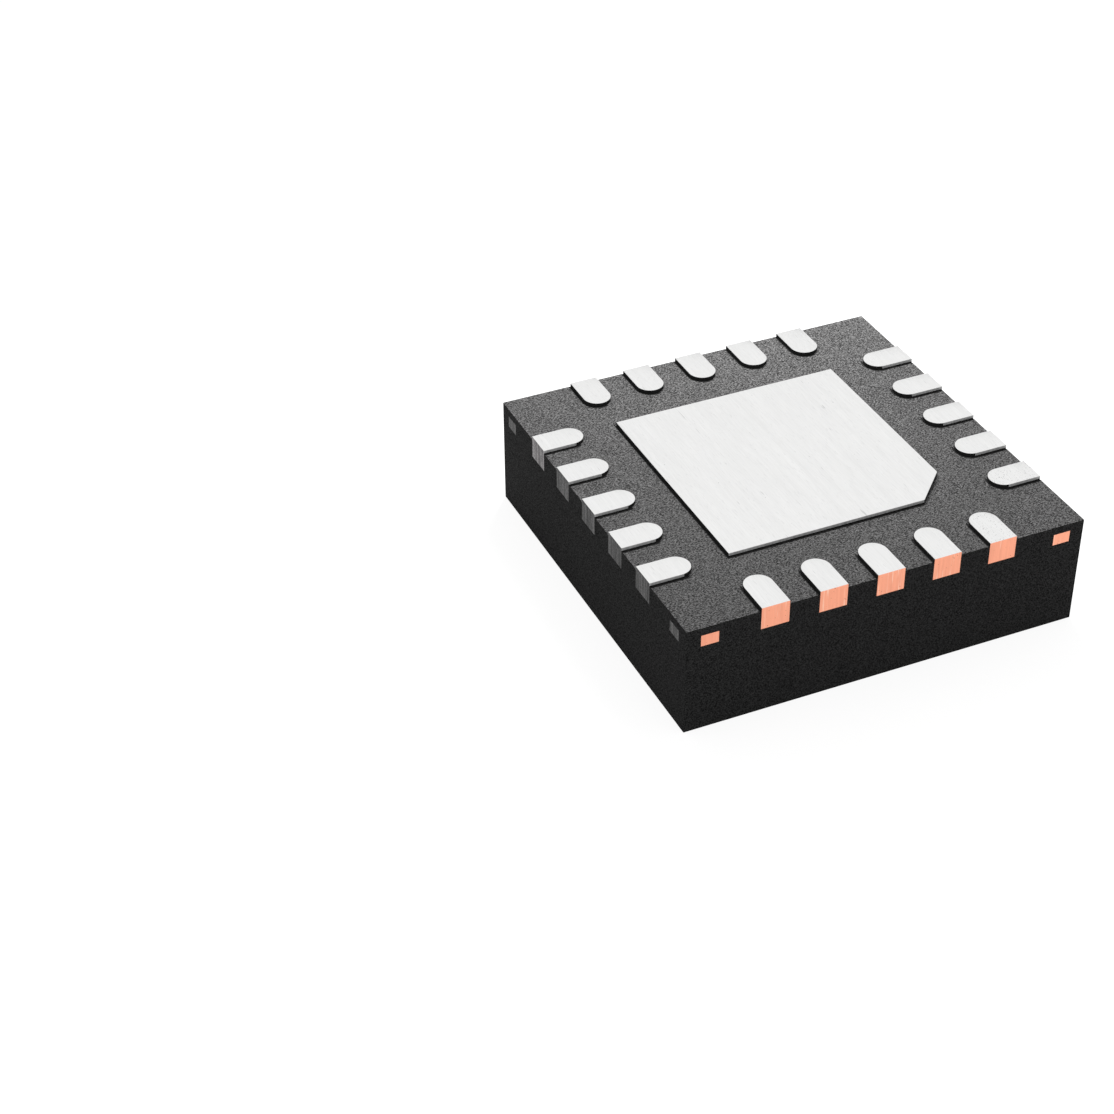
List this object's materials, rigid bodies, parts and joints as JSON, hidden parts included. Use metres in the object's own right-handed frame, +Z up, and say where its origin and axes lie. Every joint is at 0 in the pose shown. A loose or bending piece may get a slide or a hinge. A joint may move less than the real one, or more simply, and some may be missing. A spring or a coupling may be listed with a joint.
{
  "type": "qfn chip",
  "caption": "Flat square no-lead chip package: a dark moulded body with a plated exposed pad and flush solder terminals along every side.",
  "frame": {"origin": "centre of the marking face, on which the chip lies", "axes": "+Z up, out of the face with the terminals; +X along the front side, towards the pad's cut corner; -Y is the front side, with terminal 1"},
  "size_m": [0.0036, 0.0036, 0.001],
  "materials": {
    "mould_compound": "fine-grained black epoxy",
    "plated_pad": "brushed silver plating",
    "plated_terminal": "brushed silver plating with bare copper ends",
    "die_adhesive": "silver-filled epoxy",
    "silicon": "polished silicon",
    "gold_wire": "bright gold"
  },
  "bodies": {
    "root": {"mould_body": "mould_compound", "die_pad": "plated_pad", "die_attach": "die_adhesive", "silicon_die": "silicon", "terminal_1": "plated_terminal", "terminal_2": "plated_terminal", "terminal_3": "plated_terminal", "terminal_4": "plated_terminal", "terminal_5": "plated_terminal", "terminal_6": "plated_terminal", "terminal_7": "plated_terminal", "terminal_8": "plated_terminal", "terminal_9": "plated_terminal", "terminal_10": "plated_terminal", "terminal_11": "plated_terminal", "terminal_12": "plated_terminal", "terminal_13": "plated_terminal", "terminal_14": "plated_terminal", "terminal_15": "plated_terminal", "terminal_16": "plated_terminal", "terminal_17": "plated_terminal", "terminal_18": "plated_terminal", "terminal_19": "plated_terminal", "terminal_20": "plated_terminal", "bond_wire_1": "gold_wire", "bond_wire_2": "gold_wire", "bond_wire_3": "gold_wire", "bond_wire_4": "gold_wire", "bond_wire_5": "gold_wire", "bond_wire_6": "gold_wire", "bond_wire_7": "gold_wire", "bond_wire_8": "gold_wire", "bond_wire_9": "gold_wire", "bond_wire_10": "gold_wire", "bond_wire_11": "gold_wire", "bond_wire_12": "gold_wire", "bond_wire_13": "gold_wire", "bond_wire_14": "gold_wire", "bond_wire_15": "gold_wire", "bond_wire_16": "gold_wire", "bond_wire_17": "gold_wire", "bond_wire_18": "gold_wire", "bond_wire_19": "gold_wire", "bond_wire_20": "gold_wire"}
  },
  "joints": []
}
